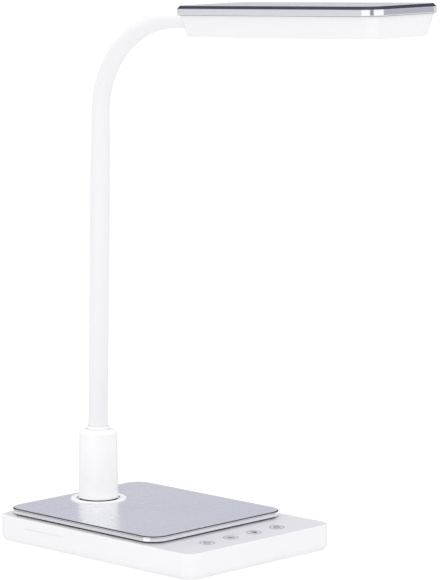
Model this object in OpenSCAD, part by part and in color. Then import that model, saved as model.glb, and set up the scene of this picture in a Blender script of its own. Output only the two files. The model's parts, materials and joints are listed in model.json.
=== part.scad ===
// LED desk lamp: flat touch-control base, swivelling collar, flexible neck and a slim light head.
// Millimetres, +Z up, -Y is the front. The origin is on the table under the middle of the base.

/* [Base] */
// Base width, left to right
base_w = 154; // [140:1:190]
// Base depth, front to back
base_d = 208; // [196:1:240]
// Corner radius of the base in plan
base_r = 10.5; // [8:0.5:14]
// Height of the base's top above the table
base_top = 20.5; // [20:0.5:24]
// Height of the sloped lower edge
base_edge_h = 4.1; // [2:0.1:5]
// How far the sloped edge runs in at the bottom
base_edge_in = 2.5; // [1:0.1:2.8]
// How far the rubber pad stands out below the base
foot_h = 1; // [0.6:0.1:1.4]

/* [Metal deck] */
// Width of the metal deck
deck_w = 142; // [120:1:150]
// Depth of the bare strip in front of the deck
strip_d = 43; // [38:1:54]
// Bare border left behind the deck
deck_back = 4; // [3:0.5:8]
// Corner radius of the deck
deck_r = 13.5; // [8:0.5:16]
// Total thickness of the deck
deck_t = 4; // [3:0.5:5]
// Shadow gap under the deck
deck_gap = 1.3; // [1:0.1:2]
// Size of the deck's bevelled top edge
deck_bevel = 1; // [0.5:0.1:1.2]

/* [Touch keys] */
// Distance between two touch keys
key_pitch = 25; // [20:1:28]
// Radius of a key's ring
key_r = 5.7; // [4:0.1:7]
// Distance from the base's front edge to the keys
key_front = 21; // [16:0.5:26]

/* [Collar] */
// Distance from the base's back edge to the neck
neck_back = 32.5; // [30:0.5:40]
// Outer radius of the white bezel ring
bezel_r = 21.5; // [19:0.5:24]
// Collar radius at the bottom
collar_r0 = 15.4; // [14.8:0.1:16]
// Collar radius at the top
collar_r1 = 14.5; // [13.6:0.1:14.8]
// Height of the collar's mouth above the table
collar_top = 81; // [75:1:95]
// Height of the collar's sloped shoulder
shoulder_h = 2.2; // [1:0.1:3]
// Radius of the lip round the neck
lip_r = 9.6; // [9.4:0.1:10.2]
// Height of the lip's top above the collar's mouth
lip_h = 3.5; // [3:0.5:6]

/* [Neck] */
// Forward lean of the straight part, in degrees
neck_lean = 1.1; // [0:0.1:2]
// Length of the straight part
neck_straight = 243.8; // [235:1:270]
// Radius of the lower bend
bend_r1 = 68.5; // [60:0.5:90]
// Tilt where the lower bend ends, in degrees
bend_a1 = 40; // [35:1:45]
// Radius of the upper bend
bend_r2 = 87; // [75:0.5:100]
// Tilt at the end of the bend, in degrees
bend_a2 = 88; // [85:0.5:90]
// Length of the straight end before the light head
neck_end = 33.2; // [28:0.1:38]
// Neck sleeve radius at the bottom
sleeve_r0 = 7.45; // [7.2:0.05:7.6]
// Neck sleeve radius at the top
sleeve_r1 = 6.75; // [6.4:0.05:7]

/* [Light head] */
// Width of the light head
head_w = 74.8; // [72:0.2:86]
// Length of the light head
head_l = 196.4; // [186:0.2:230]
// Corner radius of the light head in plan
head_r = 12; // [10.5:0.5:16]
// Height of the head's top above the neck's centre line
head_up = 11.3; // [10.5:0.1:12.5]
// Depth of the head's underside below the neck's centre line
head_down = 11.5; // [11.2:0.1:14]
// How far the white housing tapers in at the bottom
head_taper = 7; // [4:0.1:8]
// Width of the head plate's bevelled edge
head_bevel = 2.2; // [1:0.1:3]

/* [Hidden] */
$fn = 64;
gap = 0.2;

// base, from the table up
wall = 3.6;
cover_t = 2;
floor_z = foot_h + cover_t;
roof_t = 2;
panel_t = 1;
panel_z = base_top - panel_t;
roof_z = panel_z - roof_t;
panel_in = 1.2;
boss_x = base_w / 2 - 12;
boss_y = base_d / 2 - 12;
boss_r = 4.2;
pad_w = 2 * boss_x - 10;
pad_d = base_d - 20;
pad_r = 8;
pad_sink = 0.4;
// the fine line along the left side, measured from the base's back and top
line_back = 32;
line_l = 41;
line_down = 6.5;
line_t = 0.6;
line_deep = 0.4;
key_y = -base_d / 2 + key_front;
keys = [for (i = [-1.5:1:1.5]) i * key_pitch];

// touch circuit board, on two bosses under the roof
touch_t = 1.6;
touch_z = roof_z - 3.5;
touch_x = keys[3] + 14.5;
touch_hole = [keys[3] + 9.5, key_y + 9];

// main circuit board, between the right back boss and the neck
main_t = 1.6;
main_z = floor_z + 1.5;
main_x1 = boss_x - boss_r - 0.8;
main_x0 = main_x1 - 43;
main_y1 = base_d / 2 - wall - 3.4;
main_y0 = main_y1 - 50;
main_holes = [[main_x0 + 5, main_y0 + 5], [main_x1 - 4, main_y1 - 15]];
jack_x = main_x1 - 20;
jack_z = main_z + 6.6;

// ballast weight, in front of the neck
weight_x = base_w / 2 - 23;
weight_y0 = -base_d / 2 + 22;
weight_t = 6;
weight_hole = 8;

// deck
deck_d = base_d - deck_back - strip_d;
deck_y = base_d / 2 - deck_back - deck_d / 2;
deck_z = base_top + deck_gap;
deck_top = deck_z + deck_t;
deck_skin = 1.4;

// swivel
neck_y = base_d / 2 - neck_back;
bezel_in = 17;
bezel_stem = 17.8;
hub_r = 8;
hub_bore = 5.4;
flange_r = 12.6;
flange_z = panel_z + 2.45;
flange_t = 2.4;
bush_in = hub_r + 0.06;
stop_out = 15.4;
sleeve_z = flange_z + flange_t - 0.4;
web_z = flange_z + flange_t;
hub_z0 = 11.5;
hub_z1 = 56;
nut_z = 12;
screw_circle = 10.4;
// the cap's stem in the collar's mouth, and the groove round it
cap_stem = 8.3;
cap_hole = cap_stem + 0.05;
cap_body = 8.9;
mouth_r = lip_r + 0.8;
mouth_floor = collar_top - 1.5;
weight_y1 = neck_y - 36.5;

// neck path, measured along its centre line from the collar's lip
s_a = neck_straight;
s_b = s_a + bend_r1 * (bend_a1 - neck_lean) * PI / 180;
s_c = s_b + bend_r2 * (bend_a2 - bend_a1) * PI / 180;
s_d = s_c + neck_end;
core_r = 5;
core_bore = 2.4;
ball_r = 4.2;
cup_r = ball_r + 0.3;
link_gap = 1.5;
liner_r = core_r + 0.3;
lip_z = collar_top + 2;
// hinge stations: the first six bend forward and sideways by turns, the last five uncurl the bend
first_hinge = 18;
hinge_step = 40;
stations = concat(
    [for (i = [0:5]) first_hinge + hinge_step * i],
    [s_a, (s_a + s_b) / 2, s_b, (s_b + s_c) / 2, s_c]
);
// how far the core reaches into the collar and into the head, and the sleeve likewise
core_in = 22;
sleeve_in0 = 4;
sleeve_in1 = head_taper + 1.5;
// the sleeve gets thinner from here up to the bend
taper_from = first_hinge + 4.5 * hinge_step;
// where one sleeve piece ends and the next begins, with a hair's gap between them
seam = 0.06;
cuts = concat([-sleeve_in0], [for (i = [0:9]) (stations[i] + stations[i + 1]) / 2], [s_d + sleeve_in1]);

// light head, in its own frame: the neck comes in at the origin and the head runs to -Y
level = 90;
head_pitch = bend_a2 - level;
plate_t = 2.45;
plate_z = head_up - plate_t;
band_h = 3.3;
band_z = plate_z - band_h;
shell_t = 1.9;
floor_t = 1.6;
// the housing's rim under the band, and how far the wall steps in below it
rim_h = 0.8;
rim_in = 0.3;
ledge = 2;
light_w = 46;
light_y0 = -26;
light_y1 = -head_l + head_taper + 7;
light_l = light_y0 - light_y1;
light_y = (light_y0 + light_y1) / 2;
lens_t = 0.5;
well_z = -head_down + floor_t + lens_t;
board_z = 2;
board_t = 1.6;
led_n = 12;
led_pitch = (light_l - 25.4) / (led_n - 1);
// the four screws that hold the board up against the head's plate
stud = [12, light_l / 2 - 27];
// the clamp block behind the light, and its two screws
clamp_x = 14;
clamp_y = -sleeve_in1 - 7.5;
clamp_top = 6.4;
clamp_hole = 10;

// Shared shapes

// a rounded slab whose edge follows a list of [outward offset, height], from the bottom up
module slab(w, d, r, edge) {
    n = len(edge);
    module side(size) {
        polygon(concat(
            [for (e = edge) [size / 2 + e[0], e[1]]],
            [for (i = [n - 1:-1:0]) [-size / 2 - edge[i][0], edge[i][1]]]
        ));
    }
    rotate([90, 0, 0])
        linear_extrude(d - 2 * r, center = true)
            side(w);
    rotate([90, 0, 90])
        linear_extrude(w - 2 * r, center = true)
            side(d);
    for (x = [-1, 1], y = [-1, 1])
        translate([x * (w / 2 - r), y * (d / 2 - r), 0])
            rotate_extrude()
                polygon(concat(
                    [[0, edge[0][1]]],
                    [for (e = edge) [r + e[0], e[1]]],
                    [[0, edge[n - 1][1]]]
                ));
}

module plain_slab(w, d, r, z0, z1) {
    slab(w, d, r, [[0, z0], [0, z1]]);
}

// a slab of the base's outline, set in by a distance
module base_slab(inset, z0, z1) {
    plain_slab(base_w - 2 * inset, base_d - 2 * inset, base_r - inset, z0, z1);
}

module block(x0, x1, y0, y1, z0, z1) {
    translate([x0, y0, z0])
        cube([x1 - x0, y1 - y0, z1 - z0]);
}

module disc(r, z0, z1) {
    translate([0, 0, z0])
        cylinder(h = z1 - z0, r = r);
}

module ring(r_out, r_in, z0, z1) {
    difference() {
        disc(r_out, z0, z1);
        disc(r_in, z0 - 1, z1 + 1);
    }
}

// a pan-head screw pointing up: its head's underside is at z = 0
module screw(head_r, head_h, shank_r, length) {
    disc(head_r, -head_h, 0);
    disc(shank_r, -0.1, length);
}

module at_neck() {
    translate([0, neck_y, 0])
        children();
}

module at_bosses() {
    for (x = [-1, 1], y = [-1, 1])
        translate([x * boss_x, y * boss_y, 0])
            children();
}

// The neck's path

function span_start(i) = [0, s_a, s_b, s_c][i];
function span_end(i) = [s_a, s_b, s_c, s_d + 40][i];
function span_radius(i) = [0, bend_r1, bend_r2, 0][i];
function span_of(s) = s < s_a ? 0 : s < s_b ? 1 : s < s_c ? 2 : 3;
function tilt_in(i, s) = span_radius(i) == 0
    ? [neck_lean, 0, 0, bend_a2][i]
    : [0, neck_lean, bend_a1, 0][i] + (s - span_start(i)) / span_radius(i) * 180 / PI;
// the step [y, z] made from the start of a span to station s
function step_in(i, s) = span_radius(i) == 0
    ? (s - span_start(i)) * [-sin(tilt_in(i, s)), cos(tilt_in(i, s))]
    : span_radius(i) * [
        cos(tilt_in(i, s)) - cos(tilt_in(i, span_start(i))),
        sin(tilt_in(i, s)) - sin(tilt_in(i, span_start(i)))
    ];
function origin_of(i) = i == 0
    ? [neck_y, lip_z]
    : origin_of(i - 1) + step_in(i - 1, span_end(i - 1));
function neck_at(s) = origin_of(span_of(s)) + step_in(span_of(s), s);

module along(s) {
    translate([0, neck_at(s)[0], neck_at(s)[1]])
        rotate([tilt_in(span_of(s), s), 0, 0])
            children();
}

function skin_r(s) = s < taper_from ? sleeve_r0
    : s < s_a ? sleeve_r0 + (sleeve_r1 - sleeve_r0) * (s - taper_from) / (s_a - taper_from)
    : sleeve_r1;

// in the frame of a station: a round bar along a span of the path, from one distance to another
module bar(i, a, b, r0, r1) {
    if (span_radius(i) == 0)
        translate([0, 0, a])
            cylinder(h = b - a, r1 = r0, r2 = r1);
    else
        translate([0, -span_radius(i), 0])
            rotate([90, 0, 90])
                rotate(a / span_radius(i) * 180 / PI)
                    rotate_extrude(angle = (b - a) / span_radius(i) * 180 / PI)
                        translate([span_radius(i), 0])
                            circle(r = r0);
}

// in the frame of a station: moves its children a distance along the span
module on_bar(i, a) {
    if (span_radius(i) == 0)
        translate([0, 0, a])
            children();
    else
        translate([0, -span_radius(i), 0])
            rotate([a / span_radius(i) * 180 / PI, 0, 0])
                translate([0, span_radius(i), 0])
                    children();
}

// one link of the flexible core: a cup round the hinge below it and a ball for the hinge above
module link(n) {
    s0 = n == 0 ? -core_in : stations[n - 1];
    s1 = n == 11 ? s_d + core_in : stations[n];
    i = span_of(s0 + 0.01);
    l = s1 - s0;
    along(s0)
        difference() {
            union() {
                bar(i, n == 0 ? 0 : link_gap, n == 11 ? l : l - link_gap, core_r, core_r);
                if (n < 11) {
                    bar(i, l - link_gap - 1, l - 1, 3.7, 3.7);
                    on_bar(i, l)
                        sphere(r = ball_r);
                }
            }
            if (n > 0)
                sphere(r = cup_r);
            bar(i, n == 0 ? -1 : 1, l + 6, core_bore, core_bore);
            // the pivot bore of the hinge, across the ball
            if (n < 11)
                on_bar(i, l)
                    rotate(n < 6 && n % 2 == 1 ? [90, 0, 0] : [0, 90, 0])
                        cylinder(h = 12, r = 1, center = true);
        }
}

// a straight or bent run of the sleeve
module tube(s0, s1) {
    i = span_of(s0 + 0.01);
    run = s1 - s0;
    over = span_radius(i) == 0 ? 1 : 0;
    along(s0)
        difference() {
            bar(i, 0, run, skin_r(s0), skin_r(s1));
            bar(i, -over, run + over, liner_r, liner_r);
        }
}

// one piece of the soft sleeve, centred on a hinge
module skin(n) {
    s1 = cuts[n + 1] - seam;
    if (span_of(cuts[n]) == span_of(s1))
        tube(cuts[n], s1);
    else {
        tube(cuts[n], stations[n]);
        tube(stations[n], s1);
    }
}

// The base

// a point of the rounded lower edge, from 0 at the bottom to 1 where the wall is upright
function edge_at(t) = [-base_edge_in * pow(1 - t, 1.6), foot_h + base_edge_h * t];

module base_shell() {
    color("white")
    difference() {
        union() {
            difference() {
                slab(base_w, base_d, base_r, [
                    edge_at(0),
                    edge_at(1 / 3),
                    edge_at(2 / 3),
                    edge_at(1),
                    [0, base_top - 0.5],
                    [-0.4, base_top]
                ]);
                base_slab(wall, foot_h - 1, roof_z);
                base_slab(panel_in, panel_z, base_top + 1);
            }
            at_bosses()
                disc(boss_r, floor_z, roof_z + 0.5);
            for (x = [-1, 1])
                translate([x * touch_hole[0], touch_hole[1], 0])
                    disc(3, touch_z, roof_z + 0.5);
        }
        at_bosses()
            disc(1.35, floor_z - 1, 14);
        for (x = [-1, 1])
            translate([x * touch_hole[0], touch_hole[1], 0])
                disc(1.05, touch_z - 1, roof_z - 0.6);
        at_neck()
            disc(10.2, roof_z - 1, panel_z + 1);
        translate([jack_x, base_d / 2 - wall - 1, jack_z])
            rotate([-90, 0, 0])
                disc(4.2, 0, wall + 2);
        translate([-base_w / 2, base_d / 2 - line_back, base_top - line_down])
            block(-1, line_deep, -line_l, 0, -line_t, 0);
    }
}

module bottom_cover() {
    color("gainsboro")
    difference() {
        union() {
            base_slab(wall + gap, foot_h, floor_z);
            for (p = main_holes)
                translate([p[0], p[1], 0])
                    disc(3, floor_z - 0.5, main_z);
        }
        at_bosses()
            disc(1.45, foot_h - 1, floor_z + 1);
        at_bosses()
            disc(3.2, foot_h - 1, foot_h + 1.3);
        for (p = main_holes)
            translate([p[0], p[1], 0])
                disc(1.05, foot_h + 0.8, main_z + 0.5);
        plain_slab(pad_w + gap, pad_d + gap, pad_r + gap / 2, foot_h - 1, foot_h + pad_sink);
    }
}

module rubber_pad() {
    color("dimgray")
    slab(pad_w, pad_d, pad_r, [
        [-0.5, 0],
        [0, 0.5],
        [0, foot_h + pad_sink]
    ]);
}

module cover_screws() {
    color("silver")
    at_bosses()
        translate([0, 0, foot_h + 1.3])
            screw(3, 1.1, 1.3, 9);
}

module top_panel() {
    color("lightgray")
    difference() {
        base_slab(panel_in + 0.1, panel_z, base_top);
        at_neck()
            disc(bezel_stem + 0.2, panel_z - 1, base_top + 1);
    }
}

// the four keys' marks: power, brightness, light colour and timer
module touch_icons() {
    t = 0.12;
    module mark(i) {
        if (i == 0) {
            difference() {
                circle(r = 2.6);
                circle(r = 2.1);
                translate([-0.8, 0])
                    square([1.6, 4]);
            }
            translate([-0.25, 0.6])
                square([0.5, 2.6]);
        }
        if (i == 1) {
            difference() {
                circle(r = 1.5);
                circle(r = 1);
            }
            for (a = [0:45:315])
                rotate(a)
                    translate([2, -0.2])
                        square([1.1, 0.4]);
        }
        if (i == 2) {
            difference() {
                circle(r = 2.6);
                circle(r = 2.1);
            }
            intersection() {
                circle(r = 1.7);
                translate([0, -3])
                    square([3, 6]);
            }
        }
        if (i == 3) {
            difference() {
                circle(r = 2.8);
                circle(r = 2.3);
            }
            translate([-0.2, -0.2])
                square([0.4, 1.9]);
            translate([-0.2, -0.2])
                square([1.6, 0.4]);
        }
    }
    color("slategray")
    for (i = [0:3])
        translate([keys[i], key_y, base_top])
            linear_extrude(t) {
                difference() {
                    circle(r = key_r);
                    circle(r = key_r - 0.6);
                }
                mark(i);
            }
}

module deck_pad() {
    color("black")
    translate([0, deck_y, 0])
        difference() {
            plain_slab(deck_w - 5, deck_d - 5, deck_r - 2.5, base_top, deck_z);
            translate([0, neck_y - deck_y, 0])
                disc(bezel_stem + 1, base_top - 1, deck_z + 1);
        }
}

module deck_carrier() {
    color("silver")
    translate([0, deck_y, 0])
        difference() {
            slab(deck_w, deck_d, deck_r, [
                [-0.4, deck_z],
                [0, deck_z + 0.4],
                [0, deck_top - deck_skin]
            ]);
            translate([0, neck_y - deck_y, 0])
                disc(bezel_stem + 0.2, deck_z - 1, deck_top);
        }
}

module deck_plate() {
    color("lightsteelblue")
    translate([0, deck_y, 0])
        difference() {
            slab(deck_w, deck_d, deck_r, [
                [0, deck_top - deck_skin],
                [0, deck_top - deck_bevel],
                [-deck_bevel, deck_top]
            ]);
            translate([0, neck_y - deck_y, 0])
                disc(bezel_stem + 0.2, deck_z, deck_top + 1);
        }
}

module weight_plate() {
    color("dimgray")
    difference() {
        block(-weight_x, weight_x, weight_y0, weight_y1, floor_z, floor_z + weight_t);
        for (x = [-1, 1], y = [weight_y0 + weight_hole, weight_y1 - weight_hole])
            translate([x * (weight_x - weight_hole), y, 0])
                disc(2.2, floor_z - 1, floor_z + weight_t + 1);
    }
}

// the board with its controller, coil, driver and capacitor
module main_board() {
    color("darkgreen")
    difference() {
        translate([main_x0, main_y0, main_z]) {
            block(0, main_x1 - main_x0, 0, main_y1 - main_y0, 0, main_t);
            block(5, 14, 19, 29, main_t, main_t + 1.8);
            block(19, 25, 13, 19, main_t, main_t + 5);
            block(29, 37, 9, 17, main_t, main_t + 1.6);
            translate([11, 41, 0])
                disc(4, main_t, main_t + 7.4);
        }
        for (p = main_holes)
            translate([p[0], p[1], 0])
                disc(1.1, main_z - 1, main_z + 3);
    }
}

module dc_jack() {
    back = base_d / 2 - wall - gap;
    color("black")
    translate([jack_x, back, jack_z])
        difference() {
            union() {
                block(-4.6, 4.6, -13, 0, main_z + main_t - jack_z, 5);
                rotate([-90, 0, 0])
                    disc(3.9, -1, wall - 0.4);
            }
            rotate([-90, 0, 0])
                difference() {
                    disc(2.85, -9, wall + 1);
                    disc(0.95, -10, wall - 1);
                }
        }
}

module touch_board() {
    color("darkgreen")
    difference() {
        block(-touch_x, touch_x, key_y - 10, key_y + 13, touch_z - touch_t, touch_z);
        for (x = [-1, 1])
            translate([x * touch_hole[0], touch_hole[1], 0])
                disc(1.1, touch_z - touch_t - 1, touch_z + 1);
    }
}

module touch_pads() {
    color("goldenrod")
    for (x = keys)
        translate([x, key_y, 0])
            ring(key_r - 0.7, key_r - 3.2, touch_z, roof_z);
}

module board_screws() {
    color("silver") {
        for (x = [-1, 1])
            translate([x * touch_hole[0], touch_hole[1], touch_z - touch_t])
                screw(2.2, 1.2, 1, 4);
        for (p = main_holes)
            translate([p[0], p[1], main_z + main_t])
                mirror([0, 0, 1])
                    screw(2.2, 1.2, 1, 3.8);
    }
}

module swivel_bezel() {
    color("white")
    at_neck()
        rotate_extrude()
            polygon([
                [bezel_in, panel_z],
                [bezel_stem, panel_z],
                [bezel_stem, deck_top],
                [bezel_r, deck_top],
                [bezel_r, deck_top + 0.6],
                [bezel_r - 0.4, deck_top + 1],
                [bezel_in + 0.3, deck_top + 1],
                [bezel_in, deck_top + 0.7]
            ]);
}

// the bush that the hub turns in, with the block that stops it at a quarter turn each way
module swivel_bush() {
    color("dimgray")
    at_neck() {
        ring(15.9, bush_in, panel_z, panel_z + 2.4);
        ring(10, bush_in, roof_z - 2, panel_z + 0.1);
        intersection() {
            ring(stop_out, flange_r + 0.4, panel_z + 2.3, sleeve_z - 0.3);
            linear_extrude(sleeve_z)
                polygon([[0, 0], [-30, -5], [-30, -30], [30, -30], [30, -5]]);
        }
    }
}

// The collar

module swivel_hub() {
    color("silver")
    at_neck()
        difference() {
            union() {
                disc(hub_r, hub_z0, hub_z1);
                disc(flange_r, flange_z, flange_z + flange_t);
                // the lug that meets the bush's stop
                block(-1.8, 1.8, 10, stop_out, flange_z, sleeve_z - 0.3);
            }
            disc(hub_bore, hub_z0 - 1, hub_z1 + 1);
            for (a = [90:120:330])
                rotate(a)
                    translate([screw_circle, 0, 0])
                        disc(1.05, flange_z - 1, flange_z + flange_t + 1);
        }
}

module hub_nut() {
    color("silver")
    at_neck()
        difference() {
            translate([0, 0, nut_z])
                cylinder(h = 3.4, r = 13, $fn = 6);
            disc(hub_r + 0.03, nut_z - 1, nut_z + 4);
        }
}

module collar_sleeve() {
    rim_z = collar_top - shoulder_h;
    color("white")
    at_neck()
        difference() {
            rotate_extrude()
                polygon([
                    [flange_r + 0.45, sleeve_z],
                    [collar_r0 - 0.2, sleeve_z],
                    [collar_r0, sleeve_z + 0.6],
                    [collar_r1, rim_z - 0.5],
                    [collar_r1 - 0.5, rim_z + 0.1],
                    [mouth_r + 0.4, collar_top],
                    [mouth_r, collar_top - 0.3],
                    [mouth_r, mouth_floor],
                    [cap_hole, mouth_floor],
                    [cap_hole, mouth_floor - 2.5],
                    [collar_r1 - 2, mouth_floor - 4],
                    [collar_r0 - 2, web_z + 2],
                    [hub_r + 0.1, web_z + 2],
                    [hub_r + 0.1, web_z],
                    [flange_r + 0.45, web_z]
                ]);
            for (a = [90:120:330])
                rotate(a)
                    translate([screw_circle, 0, 0])
                        disc(1.15, web_z - 1, web_z + 3);
        }
}

// the ring that closes the collar's mouth round the neck; a groove runs under its lip
module collar_cap() {
    lip_top = collar_top + lip_h;
    color("white")
    at_neck()
        rotate_extrude()
            polygon([
                [sleeve_r0 + 0.25, mouth_floor - 2.5],
                [cap_stem, mouth_floor - 2.5],
                [cap_stem, mouth_floor],
                [cap_body, mouth_floor],
                [cap_body, collar_top + 1.4],
                [lip_r, collar_top + 1.7],
                [lip_r, lip_top - 0.7],
                [lip_r - 0.5, lip_top],
                [sleeve_r0 + 0.5, lip_top],
                [sleeve_r0 + 0.25, lip_top - 0.3]
            ]);
}

module collar_screws() {
    color("silver")
    at_neck()
        for (a = [90:120:330])
            rotate(a)
                translate([screw_circle, 0, web_z + 2])
                    mirror([0, 0, 1])
                        screw(2, 1.1, 1, 4.2);
}

// the ferrule that holds the core's lower end on the hub
module neck_socket() {
    color("silver")
    along(-core_in)
        difference() {
            union() {
                disc(hub_r + 1.2, -4.8, -1.6);
                disc(6.9, -1.7, 13);
            }
            disc(core_r + 0.03, -0.8, 14);
            disc(core_bore, -6, 0);
        }
}

// The neck

module neck_core_01() { color("gray") link(0); }
module neck_core_02() { color("gray") link(1); }
module neck_core_03() { color("gray") link(2); }
module neck_core_04() { color("gray") link(3); }
module neck_core_05() { color("gray") link(4); }
module neck_core_06() { color("gray") link(5); }
module neck_core_07() { color("gray") link(6); }
module neck_core_08() { color("gray") link(7); }
module neck_core_09() { color("gray") link(8); }
module neck_core_10() { color("gray") link(9); }
module neck_core_11() { color("gray") link(10); }
module neck_core_12() { color("gray") link(11); }

module neck_skin_01() { color("white") skin(0); }
module neck_skin_02() { color("white") skin(1); }
module neck_skin_03() { color("white") skin(2); }
module neck_skin_04() { color("white") skin(3); }
module neck_skin_05() { color("white") skin(4); }
module neck_skin_06() { color("white") skin(5); }
module neck_skin_07() { color("white") skin(6); }
module neck_skin_08() { color("white") skin(7); }
module neck_skin_09() { color("white") skin(8); }
module neck_skin_10() { color("white") skin(9); }
module neck_skin_11() { color("white") skin(10); }

// The light head

module at_head() {
    translate([0, neck_at(s_d)[0], neck_at(s_d)[1]])
        rotate([head_pitch, 0, 0])
            children();
}

// a slab of the head's outline
module head_slab(edge) {
    translate([0, -head_l / 2, 0])
        slab(head_w, head_l, head_r, edge);
}

// where the neck comes in through the head's back wall
module neck_hole() {
    rotate([90, 0, 0])
        disc(sleeve_r1 + 0.25, -3, head_taper + shell_t + 3);
}

module head_housing() {
    color("white")
    at_head()
        difference() {
            head_slab([
                [-head_taper - 1.5, -head_down],
                [-head_taper - 0.5, -head_down + 0.4],
                [-head_taper, -head_down + 1.4],
                [-ledge, band_z - rim_h],
                [-rim_in, band_z - rim_h],
                [-rim_in, band_z]
            ]);
            head_slab([
                [-head_taper - shell_t, -head_down + floor_t],
                [-ledge - shell_t, band_z - rim_h],
                [-ledge - shell_t, band_z + 1]
            ]);
            translate([0, light_y, 0])
                plain_slab(light_w, light_l, 4, -head_down - 1, -head_down + floor_t + 1);
            neck_hole();
        }
}

module head_band() {
    color("silver")
    at_head()
        difference() {
            head_slab([
                [-0.5, band_z],
                [0, band_z + 0.5],
                [0, plate_z]
            ]);
            head_slab([
                [-2.4, band_z - 1],
                [-2.4, plate_z + 1]
            ]);
            neck_hole();
        }
}

module head_plate() {
    color("lightsteelblue")
    at_head()
        difference() {
            union() {
                difference() {
                    head_slab([
                        [-0.1, plate_z],
                        [-0.1, plate_z + 0.3],
                        [-head_bevel, head_up]
                    ]);
                    head_slab([
                        [-5, plate_z - 1],
                        [-5, plate_z + 1.3]
                    ]);
                }
                for (x = [-1, 1], y = [-1, 1])
                    translate([x * stud[0], light_y + y * stud[1], 0])
                        disc(3, board_z + board_t, plate_z + 1.5);
            }
            for (x = [-1, 1], y = [-1, 1])
                translate([x * stud[0], light_y + y * stud[1], 0])
                    disc(1.25, board_z, plate_z + 0.6);
        }
}

module diffuser() {
    color("white")
    at_head()
        translate([0, light_y, 0]) {
            plain_slab(light_w - 0.4, light_l - 0.4, 3.8, -head_down + 0.3, -head_down + floor_t + 0.1);
            plain_slab(light_w + 5, light_l + 3.6, 5, -head_down + floor_t, well_z);
        }
}

module reflector() {
    color("whitesmoke")
    at_head()
        translate([0, light_y, 0])
            difference() {
                plain_slab(light_w + 4, light_l + 3, 4.6, well_z, board_z);
                plain_slab(light_w + 1, light_l, 3.6, well_z - 1, board_z + 1);
            }
}

module led_board() {
    color("whitesmoke")
    at_head()
        difference() {
            translate([0, light_y, 0])
                plain_slab(light_w + 4, light_l + 3, 4.6, board_z, board_z + board_t);
            for (x = [-1, 1], y = [-1, 1])
                translate([x * stud[0], light_y + y * stud[1], 0])
                    disc(1.3, board_z - 1, board_z + board_t + 1);
        }
}

module leds() {
    color("khaki")
    at_head()
        for (x = [-1, 1], i = [0:led_n - 1])
            translate([x * 6, light_y + (i - (led_n - 1) / 2) * led_pitch, board_z - 0.8])
                block(-1.4, 1.4, -1.75, 1.75, 0, 0.8);
}

module head_screws() {
    color("silver")
    at_head()
        for (x = [-1, 1], y = [-1, 1])
            translate([x * stud[0], light_y + y * stud[1], board_z])
                screw(2.3, 1, 1.2, 5.4);
}

// the block that grips the core's upper end inside the head
module neck_clamp() {
    color("silver")
    at_head()
        difference() {
            block(-clamp_x, clamp_x, clamp_y - 7, clamp_y + 7, -head_down + floor_t, clamp_top);
            rotate([90, 0, 0])
                disc(core_r + 0.03, 0, 30);
            for (x = [-1, 1])
                translate([x * clamp_hole, clamp_y, 0])
                    disc(1.3, -7, clamp_top + 1);
        }
}

module clamp_screws() {
    color("silver")
    at_head()
        for (x = [-1, 1])
            translate([x * clamp_hole, clamp_y, clamp_top])
                mirror([0, 0, 1])
                    screw(2.3, 1.2, 1.25, 12);
}

base_shell();
bottom_cover();
rubber_pad();
cover_screws();
top_panel();
touch_icons();
deck_pad();
deck_carrier();
deck_plate();
weight_plate();
main_board();
dc_jack();
touch_board();
touch_pads();
board_screws();
swivel_bezel();
swivel_bush();
swivel_hub();
hub_nut();
collar_sleeve();
collar_cap();
collar_screws();
neck_socket();
neck_core_01();
neck_core_02();
neck_core_03();
neck_core_04();
neck_core_05();
neck_core_06();
neck_core_07();
neck_core_08();
neck_core_09();
neck_core_10();
neck_core_11();
neck_core_12();
neck_skin_01();
neck_skin_02();
neck_skin_03();
neck_skin_04();
neck_skin_05();
neck_skin_06();
neck_skin_07();
neck_skin_08();
neck_skin_09();
neck_skin_10();
neck_skin_11();
head_housing();
head_band();
head_plate();
diffuser();
reflector();
led_board();
leds();
head_screws();
neck_clamp();
clamp_screws();
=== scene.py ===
import json
import math

import bpy
from mathutils import Matrix, Vector

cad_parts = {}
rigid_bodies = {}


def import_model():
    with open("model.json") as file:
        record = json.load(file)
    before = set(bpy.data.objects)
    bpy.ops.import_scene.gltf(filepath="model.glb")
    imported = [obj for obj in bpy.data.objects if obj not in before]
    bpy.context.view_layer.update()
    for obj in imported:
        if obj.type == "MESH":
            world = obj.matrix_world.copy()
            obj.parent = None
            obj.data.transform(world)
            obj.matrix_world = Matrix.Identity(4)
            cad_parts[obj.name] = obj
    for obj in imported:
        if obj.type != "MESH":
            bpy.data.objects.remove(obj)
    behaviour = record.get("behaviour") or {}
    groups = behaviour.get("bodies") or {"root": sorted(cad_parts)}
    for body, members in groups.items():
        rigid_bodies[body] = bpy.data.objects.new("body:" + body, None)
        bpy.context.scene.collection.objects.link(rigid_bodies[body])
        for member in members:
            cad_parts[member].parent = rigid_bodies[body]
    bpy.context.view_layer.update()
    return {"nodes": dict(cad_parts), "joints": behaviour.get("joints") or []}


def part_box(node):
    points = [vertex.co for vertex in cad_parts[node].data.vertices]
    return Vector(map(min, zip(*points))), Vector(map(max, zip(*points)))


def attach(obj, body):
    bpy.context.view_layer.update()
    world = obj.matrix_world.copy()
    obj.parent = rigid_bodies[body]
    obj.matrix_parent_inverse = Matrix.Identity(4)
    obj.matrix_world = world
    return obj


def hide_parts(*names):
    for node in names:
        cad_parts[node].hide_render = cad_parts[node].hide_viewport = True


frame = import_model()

mm = 0.001
nodes = frame["nodes"]
joints = {joint["name"]: joint for joint in frame["joints"]}
print("frame loaded:", len(nodes), "nodes")


# a long lens that looks down a little from the lamp's front left
cameraSet = dict(place=(-1.70956, -1.71886, 0.54246), turn=(81.87, 0, -45.86), lens=265.9, sensor=36,
                 near=0.1, far=60)


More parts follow.
